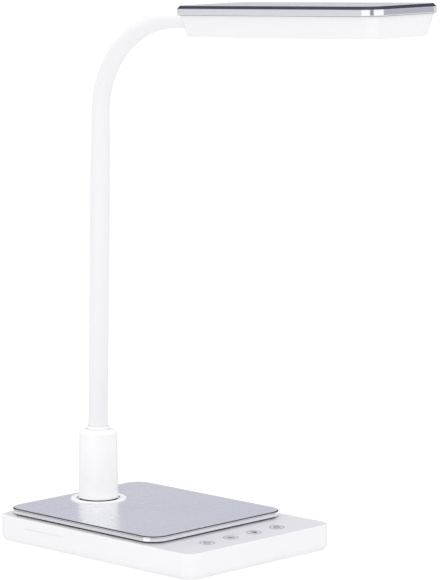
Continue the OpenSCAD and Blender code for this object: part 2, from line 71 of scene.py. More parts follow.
def makeCamera(spec):
    data = bpy.data.cameras.new("camera")
    data.sensor_fit = "HORIZONTAL"
    data.sensor_width = spec["sensor"]
    data.lens = spec["lens"]
    data.clip_start = spec["near"]
    data.clip_end = spec["far"]
    camera = bpy.data.objects.new("camera", data)
    camera.location = spec["place"]
    camera.rotation_euler = [math.radians(a) for a in spec["turn"]]
    bpy.context.scene.collection.objects.link(camera)
    bpy.context.scene.camera = camera


def newTree(holder):
    holder.use_nodes = True
    holder.node_tree.nodes.clear()
    return holder.node_tree


def addNode(tree, kind, values=None, **settings):
    node = tree.nodes.new(kind)
    for key, value in settings.items():
        setattr(node, key, value)
    for key, value in (values or {}).items():
        node.inputs[key].default_value = value
    return node


# joins outputs to the first inputs of a node
def wire(tree, node, *outputs):
    for slot, output in enumerate(outputs):
        tree.links.new(output, node.inputs[slot])
    return node


def math2(tree, operation, first, second):
    node = addNode(tree, "ShaderNodeMath", operation=operation)
    for slot, value in enumerate((first, second)):
        if isinstance(value, (int, float)):
            node.inputs[slot].default_value = value
        else:
            tree.links.new(value, node.inputs[slot])
    return node.outputs[0]


def mixed(tree, share, first, second):
    return wire(tree, addNode(tree, "ShaderNodeMixShader"), share, first, second).outputs[0]


def added(tree, first, second):
    return wire(tree, addNode(tree, "ShaderNodeAddShader"), first, second).outputs[0]


def glow(tree, colour, strength=1.0):
    return addNode(tree, "ShaderNodeEmission", {"Color": (*colour, 1), "Strength": strength}).outputs[0]


def matt(tree, grey):
    return addNode(tree, "ShaderNodeBsdfDiffuse", {"Color": (grey, grey, grey, 1)}).outputs[0]


# 1 for rays that come from the camera, a reflection or glass
def seenDirectly(tree):
    path = addNode(tree, "ShaderNodeLightPath")
    seen = math2(tree, "MAXIMUM", path.outputs["Is Camera Ray"], path.outputs["Is Glossy Ray"])
    return math2(tree, "MAXIMUM", seen, path.outputs["Is Transmission Ray"])


white = (1, 1, 1)
room = dict(strength=0.91, tint=(0.997, 0.99, 1.0))


def makeWorld(spec):
    world = bpy.data.worlds.new("studio")
    bpy.context.scene.world = world
    tree = newTree(world)
    soft = addNode(tree, "ShaderNodeBackground", {"Color": (*spec["tint"], 1), "Strength": spec["strength"]})
    clean = addNode(tree, "ShaderNodeBackground", {"Color": (*white, 1), "Strength": 1})
    seen = mixed(tree, seenDirectly(tree), soft.outputs[0], clean.outputs[0])
    wire(tree, addNode(tree, "ShaderNodeOutputWorld"), seen)


# a white floor just under the lamp, clear from below; plain and lit reach matt surfaces,
# shade and glow are what the camera sees, and mirror is what metal shows
floorSet = dict(half=25, down=-0.0004, plain=0.42, lit=0.58, shade=0.12, glow=0.93,
                mirror=0.7, mirrorTint=(0.985, 0.98, 1))


def makeFloor(spec):
    material = bpy.data.materials.new("floorWhite")
    tree = newTree(material)
    path = addNode(tree, "ShaderNodeLightPath")
    face = addNode(tree, "ShaderNodeNewGeometry")
    clear = addNode(tree, "ShaderNodeBsdfTransparent")
    plain = added(tree, matt(tree, spec["plain"]), glow(tree, white, spec["lit"]))
    shade = added(tree, glow(tree, white, spec["glow"]), matt(tree, spec["shade"]))
    mirrored = glow(tree, spec["mirrorTint"], spec["mirror"])
    look = mixed(tree, seenDirectly(tree), plain, shade)
    look = mixed(tree, path.outputs["Is Glossy Ray"], look, mirrored)
    look = mixed(tree, face.outputs["Backfacing"], look, clear.outputs[0])
    wire(tree, addNode(tree, "ShaderNodeOutputMaterial"), look)
    half = spec["half"]
    corners = [(x, y, spec["down"]) for x, y in ((-half, -half), (half, -half), (half, half), (-half, half))]
    mesh = bpy.data.meshes.new("floor")
    mesh.from_pydata(corners, [], [(0, 1, 2, 3)])
    mesh.materials.append(material)
    floor = bpy.data.objects.new("floor", mesh)
    bpy.context.scene.collection.objects.link(floor)


# cards that only reflections see: two rings and a roof above the camera's view, five low ones and two
# on the floor; each goes from one compass angle to another, in degrees, and from one (radius, height)
# to another about its centre
lowCard = dict(near=(6, 0), far=(6, 0.55))
floorCard = dict(near=(0.03, 0.001), far=(0.4, 0.001), grey=(1.06, 1.06, 1.07))
cardDetail = dict(step=7.5, fewest=4)
cards = {
    "ringLow": dict(start=0, end=360, near=(6, 0.55), far=(6, 0.95), grey=(0.68, 0.69, 0.75)),
    "ring": dict(start=0, end=360, near=(6, 0.95), far=(6, 2.6), grey=(0.54, 0.55, 0.62)),
    "roof": dict(start=0, end=360, near=(6, 2.6), far=(0.3, 7), grey=(0.8, 0.8, 0.85)),
    "lowBack": dict(start=118, end=150, grey=(0.74, 0.74, 0.79), **lowCard),
    "lowRight": dict(start=309, end=332, grey=(0.47, 0.47, 0.54), **lowCard),
    "lowFront": dict(start=215, end=237, grey=(0.3, 0.3, 0.33), **lowCard),
    "lowLeft": dict(start=152, end=213, grey=(1.08, 1.08, 1.09), **lowCard),
    "lowSide": dict(start=239, end=307, grey=(1.08, 1.08, 1.09), **lowCard),
    "floorLeft": dict(start=166, end=214, centre=(-0.068, -0.03), **floorCard),
    "floorRight": dict(start=326, end=380, centre=(0.068, -0.03), **floorCard),
}


# light that comes to a matt surface by way of a mirror sees the cards as white
def makeCard(name, spec):
    material = bpy.data.materials.new(name)
    tree = newTree(material)
    path = addNode(tree, "ShaderNodeLightPath")
    byMatt = math2(tree, "GREATER_THAN", path.outputs["Diffuse Depth"], 0.5)
    look = mixed(tree, byMatt, glow(tree, spec["grey"]), glow(tree, white))
    wire(tree, addNode(tree, "ShaderNodeOutputMaterial"), look)
    sweep = spec["end"] - spec["start"]
    steps = max(cardDetail["fewest"], round(sweep / cardDetail["step"]))
    turns = [math.radians(spec["start"] + sweep * i / steps) for i in range(steps + 1)]
    x, y = spec.get("centre", (0, 0))
    points = [(x + radius * math.cos(a), y + radius * math.sin(a), height)
              for radius, height in (spec["near"], spec["far"]) for a in turns]
    mesh = bpy.data.meshes.new(name)
    mesh.from_pydata(points, [], [(i, i + 1, steps + 2 + i, steps + 1 + i) for i in range(steps)])
    mesh.materials.append(material)
    card = bpy.data.objects.new(name, mesh)
    bpy.context.scene.collection.objects.link(card)
    card.visible_camera = False
    card.visible_diffuse = False
    card.visible_shadow = False


# square lamps that point at one place low on the neck; reflections don't see them
softBoxAim = Vector((0, 0, 0.2))
softBoxes = {
    "keyFront": dict(place=(-1.78, -1.6, 0.6), size=1.0, power=4.5),
    "fillFront": dict(place=(-0.3, -1.6, 1.9), size=1.4, power=2.6),
    "overhead": dict(place=(-0.1, 0.1, 2.4), size=2.0, power=15),
}


def makeSoftBox(name, spec):
    data = bpy.data.lights.new(name, "AREA")
    data.shape = "SQUARE"
    data.size = spec["size"]
    data.energy = spec["power"]
    box = bpy.data.objects.new(name, data)
    box.location = spec["place"]
    box.rotation_mode = "QUATERNION"
    box.rotation_quaternion = (softBoxAim - Vector(spec["place"])).to_track_quat("-Z", "Y")
    box.visible_glossy = False
    bpy.context.scene.collection.objects.link(box)


makeCamera(cameraSet)
makeWorld(room)
makeFloor(floorSet)
for cardName, cardSpec in cards.items():
    makeCard(cardName, cardSpec)
for boxName, boxSpec in softBoxes.items():
    makeSoftBox(boxName, boxSpec)
bpy.context.scene.view_settings.view_transform = "Standard"
print("studio ready")


def newGroup(name, inputs, outputs):
    group = bpy.data.node_groups.new(name, "ShaderNodeTree")
    for label, value in inputs.items():
        socket = group.interface.new_socket(label, in_out="INPUT", socket_type="NodeSocketFloat")
        socket.default_value = value
    for label in outputs:
        group.interface.new_socket(label, in_out="OUTPUT", socket_type="NodeSocketFloat")
    return group, addNode(group, "NodeGroupInput"), addNode(group, "NodeGroupOutput")


def noise(tree, vector, scale, detail, rough):
    node = addNode(tree, "ShaderNodeTexNoise", {"Detail": detail, "Roughness": rough})
    tree.links.new(vector, node.inputs["Vector"])
    if isinstance(scale, (int, float)):
        node.inputs["Scale"].default_value = scale
    else:
        tree.links.new(scale, node.inputs["Scale"])
    return node.outputs["Fac"]


# brushed lines that run along X: broad bands of lines, single lines and hair lines,
# each as (scale, detail, roughness)
brushing = dict(broad=(0.28, 3.0, 0.6), single=(1.6, 2.0, 0.55), hair=(7.0, 3.0, 0.6),
                broadShare=0.6, singleShare=0.4)


def makeBrushedGroup(spec):
    group, source, sink = newGroup("brushedLines", dict(Length=14.0, Lines=900.0), ["Streaks", "Hair"])
    place = addNode(group, "ShaderNodeTexCoord")
    split = wire(group, addNode(group, "ShaderNodeSeparateXYZ"), place.outputs["Object"])
    stretched = wire(
        group, addNode(group, "ShaderNodeCombineXYZ"),
        *(math2(group, "MULTIPLY", split.outputs[axis], source.outputs[scale])
          for axis, scale in (("X", "Length"), ("Y", "Lines"), ("Z", "Lines"))))
    broad, single, hair = (
        noise(group, stretched.outputs[0], *spec[kind]) for kind in ("broad", "single", "hair"))
    broad = math2(group, "MULTIPLY", broad, spec["broadShare"])
    single = math2(group, "MULTIPLY", single, spec["singleShare"])
    group.links.new(math2(group, "ADD", broad, single), sink.inputs["Streaks"])
    group.links.new(hair, sink.inputs["Hair"])
    return group


# a moulded skin: a fine grain and slow unevenness, each as (detail, roughness)
moulding = dict(grain=(2.0, 0.6), waves=(3.0, 0.5))


def makeMouldedGroup(spec):
    group, source, sink = newGroup("mouldedSkin", dict(Grain=2600.0, Waves=18.0), ["Grain", "Unevenness"])
    place = addNode(group, "ShaderNodeTexCoord").outputs["Object"]
    grain = noise(group, place, source.outputs["Grain"], *spec["grain"])
    waves = noise(group, place, source.outputs["Waves"], *spec["waves"])
    group.links.new(grain, sink.inputs["Grain"])
    group.links.new(waves, sink.inputs["Unevenness"])
    return group


brushedGroup = makeBrushedGroup(brushing)
mouldedGroup = makeMouldedGroup(moulding)
noiseRange = (0.25, 0.75)  # the part of 0 to 1 in which a noise mostly stays


def spread(tree, value, low, high):
    node = addNode(tree, "ShaderNodeMapRange", {
        "From Min": noiseRange[0], "From Max": noiseRange[1], "To Min": low, "To Max": high})
    tree.links.new(value, node.inputs["Value"])
    return node.outputs[0]


def tinted(tree, value, first, second):
    node = addNode(tree, "ShaderNodeMix", data_type="RGBA")
    tree.links.new(value, node.inputs["Factor"])
    node.inputs["A"].default_value = (*first, 1)
    node.inputs["B"].default_value = (*second, 1)
    return node.outputs["Result"]


def shaded(colour, share):
    return tuple(max(0.0, min(1.0, c * share)) for c in colour)


def startMaterial(name):
    material = bpy.data.materials.new(name)
    tree = newTree(material)
    shader = addNode(tree, "ShaderNodeBsdfPrincipled")
    wire(tree, addNode(tree, "ShaderNodeOutputMaterial"), shader.outputs[0])
    return material, tree, shader


def setSockets(shader, spec, sockets):
    for key, socket in sockets.items():
        shader.inputs[socket].default_value = spec[key]


def bumpFrom(tree, shader, height, distance, strength):
    bump = addNode(tree, "ShaderNodeBump", {"Distance": distance, "Strength": strength})
    tree.links.new(height, bump.inputs["Height"])
    tree.links.new(bump.outputs[0], shader.inputs["Normal"])


# what a plastic has where its own entry says nothing else
plasticUsual = dict(
    grain=2600.0, waves=18.0, fade=0.985, vary=0.03, depth=0.00002, bump=0.25, ior=1.5, coat=0.0,
    coatRough=0.06, sheen=0.0, soft=0.0, softReach=(0.004, 0.004, 0.004))
plasticSockets = dict(
    ior="IOR", coat="Coat Weight", coatRough="Coat Roughness", sheen="Sheen Weight",
    soft="Subsurface Weight", softReach="Subsurface Radius")


def plasticFinish(name, own):
    spec = {**plasticUsual, **own}
    material, tree, shader = startMaterial(name)
    skin = addNode(
        tree, "ShaderNodeGroup", {"Grain": spec["grain"], "Waves": spec["waves"]}, node_tree=mouldedGroup)
    waves = skin.outputs["Unevenness"]
    colour = tinted(tree, spread(tree, waves, 0, 1), spec["colour"], shaded(spec["colour"], spec["fade"]))
    rough = spread(tree, waves, spec["rough"] - spec["vary"], spec["rough"] + spec["vary"])
    tree.links.new(colour, shader.inputs["Base Color"])
    tree.links.new(rough, shader.inputs["Roughness"])
    bumpFrom(tree, shader, skin.outputs["Grain"], spec["depth"], spec["bump"])
    setSockets(shader, spec, plasticSockets)
    return material


# the same for a metal; edge is the tint at grazing angles and turn the highlight's quarter turn
metalUsual = dict(length=14.0, lines=900.0, depth=0.00002, bump=0.3, edge=(1, 1, 1), stretch=0.0, turn=0.25)


def metalFinish(name, own):
    spec = {**metalUsual, **own}
    material, tree, shader = startMaterial(name)
    brush = addNode(
        tree, "ShaderNodeGroup", {"Length": spec["length"], "Lines": spec["lines"]}, node_tree=brushedGroup)
    streaks = brush.outputs["Streaks"]
    light = shaded(spec["colour"], 1 + spec["contrast"])
    dark = shaded(spec["colour"], 1 - spec["contrast"])
    rough = spread(tree, streaks, spec["rough"] - spec["vary"], spec["rough"] + spec["vary"])
    tree.links.new(tinted(tree, spread(tree, streaks, 0, 1), dark, light), shader.inputs["Base Color"])
    tree.links.new(rough, shader.inputs["Roughness"])
    bumpFrom(tree, shader, brush.outputs["Hair"], spec["depth"], spec["bump"])
    shader.inputs["Metallic"].default_value = 1.0
    shader.inputs["Specular Tint"].default_value = (*spec["edge"], 1)
    setSockets(shader, spec, dict(stretch="Anisotropic", turn="Anisotropic Rotation"))
    return material


# the keys' print: light grey rings and darker symbols, told apart by the distance from each key's
# middle; pitch, keysY and ringFrom are in mm
keyPrint = dict(pitch=25.0, keysY=-83.0, ringFrom=4.6, symbols=(0.01, 0.01, 0.015), rings=(0.2, 0.2, 0.23),
                wear=0.2, rough=0.5, depth=0.00002, bump=0.2)


def printFinish(name, spec):
    material, tree, shader = startMaterial(name)
    skin = addNode(tree, "ShaderNodeGroup", node_tree=mouldedGroup)
    place = addNode(tree, "ShaderNodeTexCoord")
    split = wire(tree, addNode(tree, "ShaderNodeSeparateXYZ"), place.outputs["Object"])
    half = spec["pitch"] * mm / 2
    across = math2(tree, "SUBTRACT", half, math2(tree, "PINGPONG", split.outputs["X"], half))
    along = math2(tree, "SUBTRACT", split.outputs["Y"], spec["keysY"] * mm)
    acrossSquare = math2(tree, "MULTIPLY", across, across)
    alongSquare = math2(tree, "MULTIPLY", along, along)
    distance = math2(tree, "SQRT", math2(tree, "ADD", acrossSquare, alongSquare), 0)
    onRing = math2(tree, "GREATER_THAN", distance, spec["ringFrom"] * mm)
    share = math2(tree, "MAXIMUM", onRing, spread(tree, skin.outputs["Unevenness"], 0, spec["wear"]))
    tree.links.new(tinted(tree, share, spec["symbols"], spec["rings"]), shader.inputs["Base Color"])
    shader.inputs["Roughness"].default_value = spec["rough"]
    bumpFrom(tree, shader, skin.outputs["Grain"], spec["depth"], spec["bump"])
    return material


plastics = {
    "whitePlastic": dict(colour=(0.89, 0.89, 0.902), rough=0.25, coat=0.2, ior=1.4),
    # the collar, bezel and lip take a lighter copy of the white plastic: painted light
    "whiteWithPaintedLight": dict(colour=(0.975, 0.975, 0.985), rough=0.25, coat=0.2, ior=1.4),
    "coverPlastic": dict(colour=(0.72, 0.72, 0.74), rough=0.55, bump=0.5),
    "panelGloss": dict(colour=(0.76, 0.75, 0.78), rough=0.25, coat=0.25, bump=0.1),
    # the deck's pad is near black so the gap under the deck reads dark: painted shade
    "padPaintedShade": dict(colour=(0.04, 0.04, 0.043), rough=0.9, grain=1400.0, bump=0.8),
    "siliconeSleeve": dict(colour=(0.865, 0.865, 0.885), rough=0.5, grain=1800.0, bump=0.35, sheen=0.15),
    "opalDiffuser": dict(colour=(0.9, 0.9, 0.9), rough=0.42, grain=900.0, soft=0.3),
    "innerWhite": dict(colour=(0.85, 0.85, 0.84), rough=0.5),
    # blackPlasticAndPaintedShade is the own black of the jack and the bush, and painted shade at the collar's
    # foot and under the head's rim
    "blackPlasticAndPaintedShade": dict(colour=(0.025, 0.025, 0.028), rough=0.4),
    "padRubber": dict(colour=(0.06, 0.06, 0.065), rough=0.8, grain=1200.0, bump=0.7),
    "circuitGreen": dict(colour=(0.03, 0.17, 0.08), rough=0.35, waves=160.0, fade=0.7),
    "ledPhosphor": dict(colour=(0.85, 0.72, 0.25), rough=0.4),
}
metals = {
    "brushedDeck": dict(
        colour=(0.88, 0.885, 0.915), length=7.0, contrast=0.03, rough=0.27, vary=0.02, bump=0.2, stretch=0.5),
    "polishedEdge": dict(colour=(0.93, 0.93, 0.95), contrast=0.02, rough=0.1, vary=0.02, bump=0.06),
    # near black metal: a painted dark reflection on the bevels of deck and head, and the dark seams between
    # plate and carrier
    "darkSeamsAndPaintedReflection": dict(
        colour=(0.1, 0.1, 0.12), contrast=0.1, rough=0.22, vary=0.04, bump=0.1, edge=(0.4, 0.4, 0.45)),
    "plainSteel": dict(colour=(0.5, 0.5, 0.52), contrast=0.06, rough=0.35, vary=0.05),
    "ballastIron": dict(colour=(0.2, 0.2, 0.21), contrast=0.2, rough=0.6, vary=0.1),
    "contactFoil": dict(colour=(0.75, 0.55, 0.3), contrast=0.06, rough=0.3, vary=0.05),
    "clampAlloy": dict(colour=(0.55, 0.56, 0.58), contrast=0.08, rough=0.4, vary=0.06),
}
finishes = {name: plasticFinish(name, own) for name, own in plastics.items()}
finishes.update({name: metalFinish(name, own) for name, own in metals.items()})
finishes["keyPrint"] = printFinish("keyPrint", keyPrint)
print("finishes ready:", len(finishes))


# how fine the shapes are: steps of a slab's corner and of a rounded edge, sides of a turned piece and
# of a bore, and the smallest corner radius in mm; angles are in degrees
fine = dict(cornerSteps=12, edgeSteps=4, turnedSides=96, boreSides=64, leastRadius=0.02, sharpAngle=35,
            normalWeight=80)


def roundedLoop(width, depth, radius, centre=(0, 0)):
    radius = max(radius, fine["leastRadius"])
    steps = fine["cornerSteps"]
    points = []
    for sideX, sideY, start in ((1, -1, -90), (1, 1, 0), (-1, 1, 90), (-1, -1, 180)):
        for i in range(steps + 1):
            angle = math.radians(start + 90 * i / steps)
            points.append((
                centre[0] + sideX * (width / 2 - radius) + radius * math.cos(angle),
                centre[1] + sideY * (depth / 2 - radius) + radius * math.sin(angle)))
    return points


def circlePoints(radius, sides):
    turns = [2 * math.pi * k / sides for k in range(sides)]
    return [(radius * math.cos(a), radius * math.sin(a)) for a in turns]


# rounds the corners of a path of (across, up, radius); a corner takes less than half of a side
def softPath(corners, closed=False, steps=fine["edgeSteps"], most=0.49):
    path = []
    count = len(corners)
    for i, (across, up, radius) in enumerate(corners):
        here = Vector((across, up))
        if radius <= 0 or (not closed and i in (0, count - 1)):
            path.append(here)
            continue
        back = Vector(corners[i - 1][:2]) - here
        ahead = Vector(corners[(i + 1) % count][:2]) - here
        half = back.angle(ahead) / 2
        reach = min(radius / math.tan(half), back.length * most, ahead.length * most)
        first = here + back.normalized() * reach
        last = here + ahead.normalized() * reach
        for step in range(steps + 1):
            t = step / steps
            path.append(first * (1 - t) ** 2 + here * 2 * t * (1 - t) + last * t ** 2)
    return path


# joins rings of points; bands gives the material number of each band between two rings
def joinRings(name, rings, materials, bands=None, closed=False):
    count = len(rings[0])
    points = [Vector(p) * mm for ring in rings for p in ring]
    faces, marks = [], []
    spans = len(rings) if closed else len(rings) - 1
    for i in range(spans):
        a, b = i * count, (i + 1) % len(rings) * count
        for k in range(count):
            n = (k + 1) % count
            faces.append((a + k, a + n, b + n, b + k))
            marks.append(bands[i] if bands else 0)
    if not closed:
        faces.append(tuple(reversed(range(count))))
        faces.append(tuple(range((len(rings) - 1) * count, len(rings) * count)))
        marks += [0, 0]
    mesh = bpy.data.meshes.new(name)
    mesh.from_pydata(points, [], faces)
    for material in materials:
        mesh.materials.append(finishes[material])
    mesh.polygons.foreach_set("material_index", marks)
    mesh.polygons.foreach_set("use_smooth", [True] * len(faces))
    mesh.set_sharp_from_angle(angle=math.radians(fine["sharpAngle"]))
    piece = bpy.data.objects.new(name, mesh)
    bpy.context.scene.collection.objects.link(piece)
    return piece


def weighNormals(piece):
    modifier = piece.modifiers.new("weightedNormals", "WEIGHTED_NORMAL")
    modifier.keep_sharp = True
    modifier.weight = fine["normalWeight"]
    return piece


# flat map coordinates whose first axis runs along X, for the brushed highlight
def mapAlongX(piece, scale=4, middle=0.5):
    layer = piece.data.uv_layers.new(name="alongX")
    for loop in piece.data.loops:
        x, y, z = piece.data.vertices[loop.vertex_index].co
        layer.data[loop.index].uv = (x * scale + middle, (y + z) * scale + middle)
    return piece


def spun(profile, centre):
    return [[(centre[0] + x, centre[1] + y, up) for x, y in circlePoints(across, fine["turnedSides"])]
            for across, up in profile]


def slabRings(size, radius, path, centre=(0, 0)):
    return [
        [(x, y, up)
         for x, y in roundedLoop(size[0] + 2 * across, size[1] + 2 * across, radius + across, centre)]
        for across, up in path]


# cuts a closed shape out of a piece
def carve(piece, rings):
    cutter = joinRings("cutter", rings, [])
    modifier = piece.modifiers.new("cut", "BOOLEAN")
    modifier.operation = "DIFFERENCE"
    modifier.solver = "EXACT"
    modifier.object = cutter
    graph = bpy.context.evaluated_depsgraph_get()
    carved = bpy.data.meshes.new_from_object(piece.evaluated_get(graph))
    piece.modifiers.clear()
    piece.data = carved
    bpy.data.objects.remove(cutter)
    piece.data.set_sharp_from_angle(angle=math.radians(fine["sharpAngle"]))


def drill(piece, centre, axis, radius, length):
    turn = Vector((0, 0, 1)).rotation_difference(Vector(axis)).to_matrix()
    carve(piece, [
        [Vector(centre) + turn @ Vector((x, y, up)) for x, y in circlePoints(radius, fine["boreSides"])]
        for up in (-length / 2, length / 2)])


def sizes(node):
    low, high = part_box(node)
    return low / mm, high / mm


def dress(piece, body, slotName, *replaced):
    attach(piece, body)
    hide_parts(*replaced)


# all sizes of the pieces are in mm; the base shell has a soft lower edge, a rim round the panel,
# the inlet's hole and a fine line on the left
def makeBase():
    spec = dict(corner=10.5, edgeUp=4.1, edgeIn=2.5, edgeSteps=8, bend=1.6, edgeToWall=0.5, topRound=0.7,
                rim=1.2, rimRound=0.15, ledge=1.0, wall=3.6, roof=3.0)
    inlet = dict(radius=4.2, deep=8, up=11.1, fromBack=2)
    line = dict(back=32, long=41, down=6.5, thick=0.6, deep=0.4, outside=-1)
    low, high = sizes("base_shell")
    shell = [Vector((-spec["wall"], high.z - spec["roof"])), Vector((-spec["wall"], low.z))]
    for step in range(spec["edgeSteps"] + 1):
        t = step / spec["edgeSteps"]
        shell.append(Vector((-spec["edgeIn"] * (1 - t) ** spec["bend"], low.z + spec["edgeUp"] * t)))
    shell += softPath([
        (0, low.z + spec["edgeUp"] + spec["edgeToWall"], 0),
        (0, high.z, spec["topRound"]),
        (-spec["rim"], high.z, spec["rimRound"]),
        (-spec["rim"], high.z - spec["ledge"], 0)])
    rings = slabRings((high.x - low.x, high.y - low.y), spec["corner"], shell)
    piece = joinRings("baseShell", rings, ["whitePlastic"])
    jackLow, jackHigh = sizes("dc_jack")
    hole = ((jackLow.x + jackHigh.x) / 2, high.y - inlet["fromBack"], inlet["up"])
    drill(piece, hole, (0, 1, 0), inlet["radius"], inlet["deep"])
    back, top = high.y - line["back"], high.z - line["down"]
    front = back - line["long"]
    outline = ((line["outside"], front), (line["deep"], front), (line["deep"], back), (line["outside"], back))
    carve(piece, [[(low.x + x, y, z) for x, y in outline] for z in (top - line["thick"], top)])
    dress(weighNormals(piece), "base", "white_plastic", "base_shell")


def makePanel():
    spec = dict(corner=9.3, edge=0.25, foot=0.05)
    low, high = sizes("top_panel")
    path = softPath([
        (-spec["foot"], low.z, 0),
        (0, low.z + spec["foot"], 0),
        (0, high.z - spec["edge"], 0),
        (-spec["edge"], high.z, 0)])
    rings = slabRings((high.x - low.x, high.y - low.y), spec["corner"], path)
    piece = joinRings("topPanel", rings, ["panelGloss"])
    dress(weighNormals(piece), "base", "panel_gloss", "top_panel")


# the deck: a carrier with a polished side and a brushed plate whose bevel has a painted dark reflection
def makeDeck():
    spec = dict(corner=13.5, bevel=0.75, lowEdge=0.12, split=0.12, inset=0.1)
    low, high = sizes("deck_plate")
    carrierLow, carrierHigh = sizes("deck_carrier")
    middle = (0, (low.y + high.y) / 2)
    size = (high.x - low.x, high.y - low.y)
    path = [
        (-spec["lowEdge"], carrierLow.z),
        (0, carrierLow.z + spec["lowEdge"]),
        (0, carrierHigh.z - spec["split"]),
        (-spec["split"], carrierHigh.z)]
    rings = slabRings(size, spec["corner"], path, middle)
    carrier = joinRings("deckCarrier", rings, ["polishedEdge", "darkSeamsAndPaintedReflection"], [0, 0, 1])
    dress(weighNormals(carrier), "base", "bright_edge", "deck_carrier")
    path = [
        (-spec["split"], low.z),
        (0, low.z + spec["split"]),
        (0, high.z - spec["bevel"]),
        (-spec["bevel"], high.z),
        (-spec["bevel"] - spec["inset"], high.z)]
    rings = slabRings(size, spec["corner"], path, middle)
    plate = joinRings("deckPlate", rings, ["brushedDeck", "polishedEdge", "darkSeamsAndPaintedReflection"], [2, 1, 2, 0])
    dress(weighNormals(mapAlongX(plate)), "base", "brushed_aluminium", "deck_plate")


def makeBezel():
    spec = dict(inner=17.0, stem=17.8, outer=21.5, footRound=0.05, outerRound=0.8, innerRound=0.4)
    low, high = sizes("swivel_bezel")
    centre = ((low.x + high.x) / 2, (low.y + high.y) / 2)
    deckTop = sizes("deck_plate")[1].z
    path = softPath([
        (spec["stem"], low.z, 0),
        (spec["stem"], deckTop, 0),
        (spec["outer"], deckTop, spec["footRound"]),
        (spec["outer"], high.z, spec["outerRound"]),
        (spec["inner"], high.z, spec["innerRound"]),
        (spec["inner"], low.z, 0)], closed=True)
    piece = joinRings("swivelBezel", spun(path, centre), ["whiteWithPaintedLight"], closed=True)
    dress(weighNormals(piece), "base", "white_plastic", "swivel_bezel")


makeBase()
makePanel()
makeDeck()
makeBezel()
print("base ready")


swivel = [v / mm for v in joints["collar_swivel"]["pos_m"]]


# the collar: a tapered sleeve with a sloped shoulder, over a gap at its foot whose walls are painted black as
# painted shade
def makeCollar():
    spec = dict(
        bottom=15.4, top=14.5, inner=13.0, footEdge=0.15, shoulder=2.2, shoulderRound=0.9, rim=9.8,
        rimRound=0.35, mouth=9.5, floor=1.5, hole=8.35, holeDeep=2.5, under=4, underIn=2,
        gapDeep=0.8, gapHigh=0.4, edgeSteps=6)
    low, high = sizes("collar_sleeve")
    floor = high.z - spec["floor"]
    footZ = sizes("swivel_bezel")[1].z + spec["gapHigh"]
    gapIn = spec["bottom"] - spec["gapDeep"]
    foot = [Vector((spec["inner"], low.z)), Vector((gapIn, low.z)), Vector((gapIn, footZ))]
    path = softPath([
        (spec["bottom"] - spec["footEdge"], footZ, 0),
        (spec["bottom"], footZ + spec["footEdge"], 0),
        (spec["top"], high.z - spec["shoulder"], spec["shoulderRound"]),
        (spec["rim"], high.z, spec["rimRound"]),
        (spec["mouth"], floor, 0),
        (spec["hole"], floor, 0),
        (spec["hole"], floor - spec["holeDeep"], 0),
        (spec["top"] - spec["underIn"], floor - spec["under"], 0)], steps=spec["edgeSteps"])
    # the foot's bands take the black finish: painted shade in the gap above the bezel
    bands = [1] * len(foot) + [0] * len(path)
    rings = spun(foot + path, swivel)
    piece = joinRings("collarSleeve", rings, ["whiteWithPaintedLight", "blackPlasticAndPaintedShade"], bands, closed=True)
    dress(weighNormals(piece), "collar", "white_plastic", "collar_sleeve")


# the ring in the collar's mouth, with a groove under its lip
def makeLip():
    spec = dict(outer=8.9, body=8.6, stem=8.3, inner=7.7, drop=1.1, height=2.7, above=4.0,
                grooveRound=0.2, lowRound=0.25, topRound=0.6, innerRound=0.3)
    low, high = sizes("collar_cap")
    top = high.z - spec["drop"]
    path = softPath([
        (spec["inner"], low.z, 0),
        (spec["stem"], low.z, 0),
        (spec["stem"], top - spec["above"], 0),
        (spec["body"], top - spec["above"], 0),
        (spec["body"], top - spec["height"], spec["grooveRound"]),
        (spec["outer"], top - spec["height"], spec["lowRound"]),
        (spec["outer"], top, spec["topRound"]),
        (spec["inner"], top, spec["innerRound"])], closed=True)
    piece = joinRings("collarLip", spun(path, swivel), ["whiteWithPaintedLight"], closed=True)
    dress(weighNormals(piece), "collar", "white_plastic", "collar_cap")


makeCollar()
makeLip()
print("collar ready")


# the neck: a straight part that leans a little, two bends as (radius, last tilt) and a straight end;
# low and high are the sleeve's radii, spare carries the path on into the head, slack is for rounding
neck = dict(
    lean=1.1, straight=243.8, lowBend=(68.5, 40), highBend=(87, 88), end=33.2, spare=40, slack=1e-6,
    low=7.45, high=6.75, taperFrom=198, lipBelow=1.5, inside=8.5, start=-4.0, firstHinge=18, hingeStep=40,
    straightHinges=6, ringStep=1.5, fewestRings=6, sides=64, domeTurn=84, domeSteps=8)


# the path as stretches of (length, start point, start tilt, bend radius)
def neckStretches():
    y, z = swivel[1], sizes("collar_cap")[1].z - neck["lipBelow"]
    tilt = neck["lean"]
    plan = [(neck["straight"], 0, 0), (0, *neck["lowBend"]), (0, *neck["highBend"]),
            (neck["end"] + neck["spare"], 0, 0)]
    found = []
    for length, bend, lastTilt in plan:
        if bend:
            length = bend * math.radians(lastTilt - tilt)
        found.append((length, y, z, tilt, bend))
        y, z, tilt = stepAlong(found[-1], length)
    return found


def stepAlong(stretch, distance):
    length, y, z, tilt, bend = stretch
    a = math.radians(tilt)
    if not bend:
        return y - distance * math.sin(a), z + distance * math.cos(a), tilt
    b = a + distance / bend
    return y + bend * (math.cos(b) - math.cos(a)), z + bend * (math.sin(b) - math.sin(a)), math.degrees(b)


stretches = neckStretches()
straightTo, lowTo, highTo = [sum(s[0] for s in stretches[:n]) for n in (1, 2, 3)]
headAt = highTo + neck["end"]


def neckPoint(distance):
    for stretch in stretches:
        if distance <= stretch[0] + neck["slack"]:
            return stepAlong(stretch, distance)
        distance -= stretch[0]
    return stepAlong(stretches[-1], distance + stretches[-1][0])


def neckRadius(distance):
    share = (distance - neck["taperFrom"]) / (straightTo - neck["taperFrom"])
    return neck["low"] + (neck["high"] - neck["low"]) * max(0.0, min(1.0, share))


